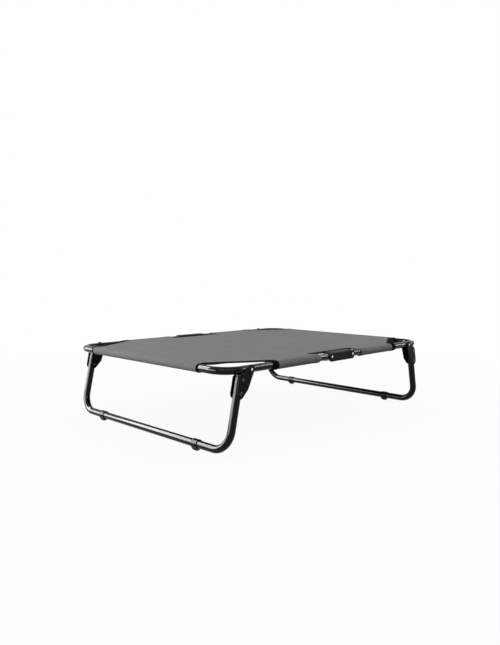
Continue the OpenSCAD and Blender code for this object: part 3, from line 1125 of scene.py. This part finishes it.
for end, sign in ENDS.items():
    cover, area = cover_half(end, sign)
    bend_with_hinge(cover, sign)
    sleeves = [f"cover_side_sleeve_{end}_{side}" for side in SIDES]
    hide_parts(f"cover_panel_{end}", "cover_panel_middle", f"cover_end_sleeve_{end}", *sleeves)
    tape_lines, hem_lines, notch_lines = [], [], []
    for side, way in SIDES.items():
        path = corner_path(way)
        band = edge_band(f"corner_tape_{end}_{side}", sign, path, TAPE_W, TAPE)
        ride_with_frame(band, end)
        tape_lines.append(stitch_line(sign, path, TAPE_W - BAND_ROW, TAPE_LIFT))

        path = mouth_path(HINGE_MOUTH, 1, way, list(reversed(SIDE_SLEEVE.steps(0))))
        path.append((Vector((HINGE_MOUTH, way * NOTCH_LINE)), Vector((1, 0))))
        band = edge_band(f"mouth_hem_{end}_{side}", sign, path, HEM_W, CLOTH)
        ride_with_frame(band, end)
        for step in (HEM_ROW, HEM_W - BAND_ROW):
            hem_lines.append(stitch_line(sign, path, step, TAPE_LIFT))

        spots = even_steps(HINGE_MOUTH, 0, NOTCH_STEPS) + [0]
        path = [(Vector((p, way * NOTCH_LINE)), Vector((0, -way))) for p in spots]
        band = edge_band(f"notch_tape_{end}_{side}", sign, path, TAPE_W, TAPE)
        bend_with_hinge(band, sign)
        notch_lines.append(stitch_line(sign, path, TAPE_W - BAND_ROW, TAPE_LIFT))
    frame_rows = [("seam", seam_lines(sign), THREAD), ("hem", hem_lines, THREAD)]
    frame_rows.append(("tape", tape_lines, DARK_THREAD))
    for name, lines, thread in frame_rows:
        ride_with_frame(stitches(f"{name}_stitches_{end}", lines, thread), end)
    notch = stitches(f"notch_stitches_{end}", notch_lines, DARK_THREAD)
    bend_with_hinge(notch, sign)


# Floor and world


def white_for_eyes(material):
    """1 for rays that the camera, a gloss or a clear part sends, and 0 for the rest."""
    path = add_node(material, "ShaderNodeLightPath")
    seen = calculate(material, "MAXIMUM", path.outputs["Is Camera Ray"], path.outputs["Is Glossy Ray"])
    return calculate(material, "MAXIMUM", seen, path.outputs["Is Transmission Ray"])


def floor_material():
    """Pale floor that reads as white away from the object and keeps its soft shadow."""
    material = bpy.data.materials.new("floor")
    material.use_nodes = True
    nodes = material.node_tree.nodes
    nodes.remove(nodes["Principled BSDF"])
    matt = add_node(material, "ShaderNodeBsdfDiffuse", {"Color": (FLOOR_SHADE,) * 3 + (1,)})
    pale = add_node(material, "ShaderNodeBsdfDiffuse", {"Color": (SHADOW_SHADE,) * 3 + (1,)})
    glow = add_node(material, "ShaderNodeEmission", {"Color": (1, 1, 1, 1), "Strength": 1})
    place = add_node(material, "ShaderNodeTexCoord")
    length = add_node(material, "ShaderNodeVectorMath", operation="LENGTH")
    join(material, place.outputs["Object"], length.inputs[0])
    fade = map_range(
        material, length.outputs["Value"], SHADOW_NEAR, SHADOW_FAR, 1 - SHADOW_SHARE, 1,
        interpolation_type="SMOOTHSTEP",
    )
    seen = mix_shaders(material, fade, pale.outputs[0], glow.outputs[0])
    whole = mix_shaders(material, white_for_eyes(material), matt.outputs[0], seen)
    join(material, whole, nodes["Material Output"].inputs["Surface"])
    return material


corner_signs = ((-1, -1), (1, -1), (1, 1), (-1, 1))
floor_points = [(x * FLOOR_HALF, y * FLOOR_HALF, 0) for x, y in corner_signs]
floor_mesh = make_mesh("floor", floor_points, [(0, 1, 2, 3)])
add_object("floor", floor_mesh, floor_material())

world = bpy.data.worlds.new("studio")
world.use_nodes = True
bpy.context.scene.world = world
background = world.node_tree.nodes["Background"]
background.inputs["Color"].default_value = (1, 1, 1, 1)
level = map_range(world, white_for_eyes(world), 0, 1, WORLD_LEVEL, 1)
join(world, level, background.inputs["Strength"])


# Lamps


def area_lamp(name, direction, size, distance, upright):
    """An unseen area lamp aimed at the cot from a direction, with its height along another."""
    lamp = bpy.data.lights.new(name, "AREA")
    lamp.shape = "RECTANGLE"
    lamp.size, lamp.size_y = size
    piece = bpy.data.objects.new(name, lamp)
    bpy.context.scene.collection.objects.link(piece)
    aim = Vector(direction).normalized()
    across = Vector(upright).cross(aim).normalized()
    piece.location = Vector((0, 0, FRAME_H)) + aim * distance
    piece.rotation_euler = Matrix((across, aim.cross(across), aim)).transposed().to_euler()
    piece.visible_camera = False
    return piece


def softbox(name, direction, size, level):
    """A lamp whose level is how bright it lights a white surface that faces it."""
    piece = area_lamp(name, direction, size, SOFTBOX_DISTANCE, UP)
    piece.data.energy = level * (math.pi * SOFTBOX_DISTANCE) ** 2


def gloss_card(name, direction, size, brightness, upright=UP):
    """A lit card that only shows in gloss; brightness is how it looks, where 1 is white."""
    piece = area_lamp(name, direction, size, CARD_DISTANCE, upright)
    piece.data.energy = brightness * math.pi * size[0] * size[1]
    piece.visible_diffuse = False


softbox("key", (-0.82, 0.40, 0.26), (2.6, 2.2), 0.52)
softbox("fill", (0.70, -0.25, 0.62), (1.7, 1.0), 0.24)
gloss_card("back_card", (-0.490, 0.700, 0.519), (0.8, 2.2), 29, BACK_UPRIGHT)
gloss_card("left_card", (-0.895, 0.417, 0.156), (2.9, 1.0), 18)
gloss_card("corner_card", (-0.515, 0.842, 0.160), (0.9, 1.2), 14)
gloss_card("near_side_card", (0.613, -0.671, 0.417), SIDE_CARD, 38, SIDE_UPRIGHT)
gloss_card("far_side_card", (0.809, -0.512, 0.289), SIDE_CARD, 17, SIDE_UPRIGHT)
gloss_card("front_card", (-0.60, -0.61, 0.53), (2.6, 0.6), 6)

# Camera and view
camera = bpy.data.cameras.new("camera")
camera.lens = CAMERA_LENS
camera.sensor_width = CAMERA_SENSOR
camera.clip_end = CAMERA_RANGE
camera_piece = bpy.data.objects.new("camera", camera)
bpy.context.scene.collection.objects.link(camera_piece)
camera_piece.location = CAMERA_PLACE
level_ahead = Vector((math.sin(CAMERA_AZIMUTH), math.cos(CAMERA_AZIMUTH), 0))
ahead = level_ahead * math.cos(CAMERA_PITCH) - UP * math.sin(CAMERA_PITCH)
turn = ahead.to_track_quat("-Z", "Y") @ Quaternion(UP, CAMERA_ROLL)
camera_piece.rotation_euler = turn.to_euler()
bpy.context.scene.camera = camera_piece
bpy.context.scene.view_settings.view_transform = "Standard"
